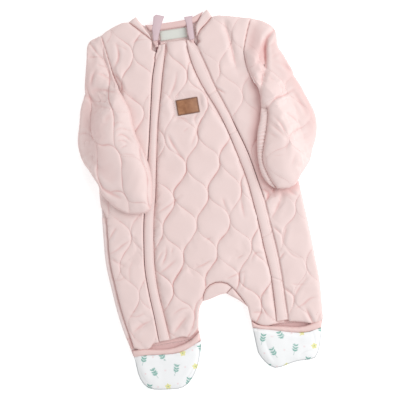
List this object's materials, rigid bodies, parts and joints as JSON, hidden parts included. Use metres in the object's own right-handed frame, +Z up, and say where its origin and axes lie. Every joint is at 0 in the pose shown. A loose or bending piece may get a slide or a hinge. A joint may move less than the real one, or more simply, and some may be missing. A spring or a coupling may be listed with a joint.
{
  "type": "baby romper",
  "caption": "Quilted padded baby romper with two full-length front zips, mitten ends and printed foot pockets, lying flat on its back.",
  "frame": {"origin": "on the flat underside, in the middle of the back's width at the waist", "axes": "+X to the right across the front as seen from above, +Y up to the neck, +Z up from the surface it lies on"},
  "size_m": [0.3935, 0.6138, 0.0306],
  "materials": {
    "quilted_satin": "pale pink quilted satin weave with a soft sheen",
    "placket_satin": "pale pink satin weave, plain",
    "binding_pink": "pink cotton binding, matte",
    "zip_tape": "dusky pink woven tape",
    "slider_enamel": "pink enamel over metal",
    "ribbon_mauve": "mauve-pink ribbon, matte",
    "leather_tan": "tan leather, bare",
    "label_white": "white woven label, bare",
    "printed_lining": "white cotton with a leafy sprig print"
  },
  "bodies": {
    "root": {"back": "quilted_satin", "crotch_gusset_left": "quilted_satin", "crotch_gusset_right": "quilted_satin", "front_centre": "quilted_satin", "front_side_left": "quilted_satin", "front_side_right": "quilted_satin", "sleeve_left": "quilted_satin", "sleeve_right": "quilted_satin", "hand_band_right": "quilted_satin", "placket_left": "placket_satin", "placket_right": "placket_satin", "zip_left": "zip_tape", "zip_right": "zip_tape", "slider_left": "slider_enamel", "slider_right": "slider_enamel", "ribbon_left": "ribbon_mauve", "ribbon_right": "ribbon_mauve", "neck_binding_left": "binding_pink", "neck_binding_right": "binding_pink", "neck_binding_back": "binding_pink", "neck_label": "label_white", "chest_patch": "leather_tan", "foot_pocket_left": "printed_lining", "foot_pocket_right": "printed_lining", "foot_binding_left": "binding_pink", "foot_binding_right": "binding_pink"}
  },
  "joints": []
}
